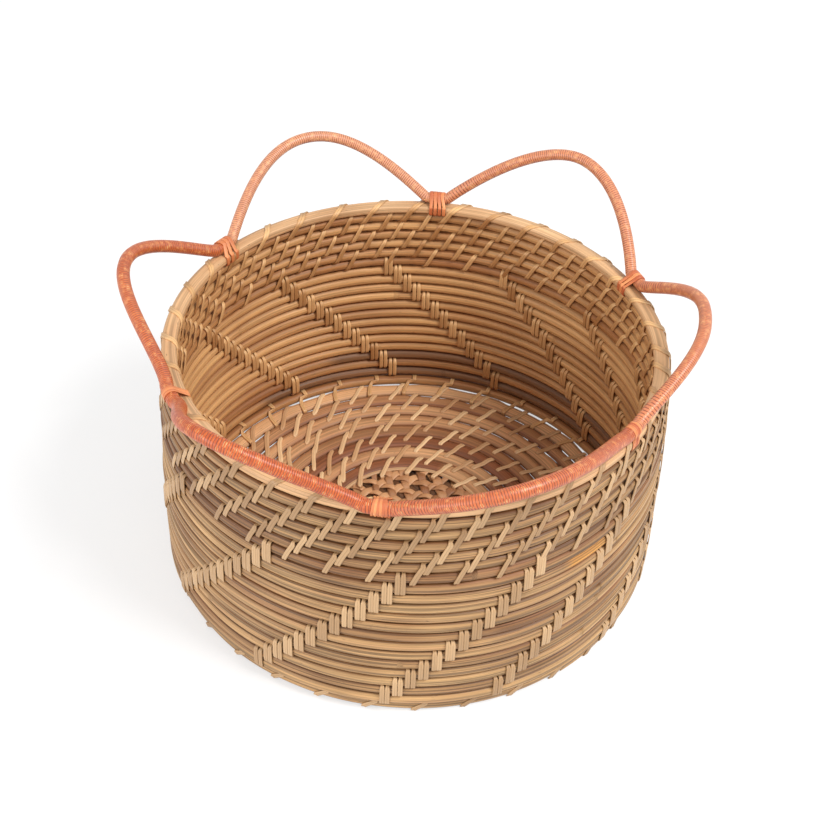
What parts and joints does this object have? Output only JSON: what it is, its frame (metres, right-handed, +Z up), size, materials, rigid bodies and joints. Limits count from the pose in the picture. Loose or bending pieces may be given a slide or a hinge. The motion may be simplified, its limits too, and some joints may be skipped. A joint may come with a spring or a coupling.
{
  "type": "scalloped cane basket",
  "caption": "Round open basket of coiled cane laced with flat strips, with a ring of wrapped cane petals lashed to its rim.",
  "frame": {"origin": "centre of the flat underside, on the surface the basket stands on", "axes": "+Z up through the open mouth, +X to the right of the front view, -Y towards the viewer"},
  "size_m": [0.345, 0.3339, 0.2111],
  "materials": {
    "wall_cane": "peeled cane with fine lengthwise grain, satin",
    "floor_cane": "peeled cane, slightly darker, satin",
    "rim_cane": "pale flat cane, satin",
    "plaited_splint": "flat plaited splint, satin",
    "lacing_strip": "flat split cane with its glossy skin",
    "wrapped_cane": "cane close-wrapped with dyed strip, satin",
    "lashing_strip": "dyed flat strip, satin"
  },
  "bodies": {
    "root": {"plaited_centre": "plaited_splint", "floor_coil": "floor_cane", "wall_cane_1": "wall_cane", "wall_cane_2": "wall_cane", "wall_cane_3": "wall_cane", "wall_cane_4": "wall_cane", "wall_cane_5": "wall_cane", "rim_cane": "rim_cane", "wall_lacing_01": "lacing_strip", "wall_lacing_02": "lacing_strip", "wall_lacing_03": "lacing_strip", "wall_lacing_04": "lacing_strip", "wall_lacing_05": "lacing_strip", "wall_lacing_06": "lacing_strip", "wall_lacing_07": "lacing_strip", "wall_lacing_08": "lacing_strip", "wall_lacing_09": "lacing_strip", "wall_lacing_10": "lacing_strip", "wall_lacing_11": "lacing_strip", "wall_lacing_12": "lacing_strip", "wall_lacing_13": "lacing_strip", "rim_lacing_1": "lacing_strip", "rim_lacing_2": "lacing_strip", "rim_lacing_3": "lacing_strip", "rim_lacing_4": "lacing_strip", "rim_lacing_5": "lacing_strip", "rim_lacing_6": "lacing_strip", "scallop_cane_1": "wrapped_cane", "scallop_cane_2": "wrapped_cane", "scallop_cane_3": "wrapped_cane", "scallop_cane_4": "wrapped_cane", "scallop_cane_5": "wrapped_cane", "scallop_cane_6": "wrapped_cane", "scallop_lashing_1": "lashing_strip", "scallop_lashing_2": "lashing_strip", "scallop_lashing_3": "lashing_strip", "scallop_lashing_4": "lashing_strip", "scallop_lashing_5": "lashing_strip", "scallop_lashing_6": "lashing_strip"}
  },
  "joints": []
}
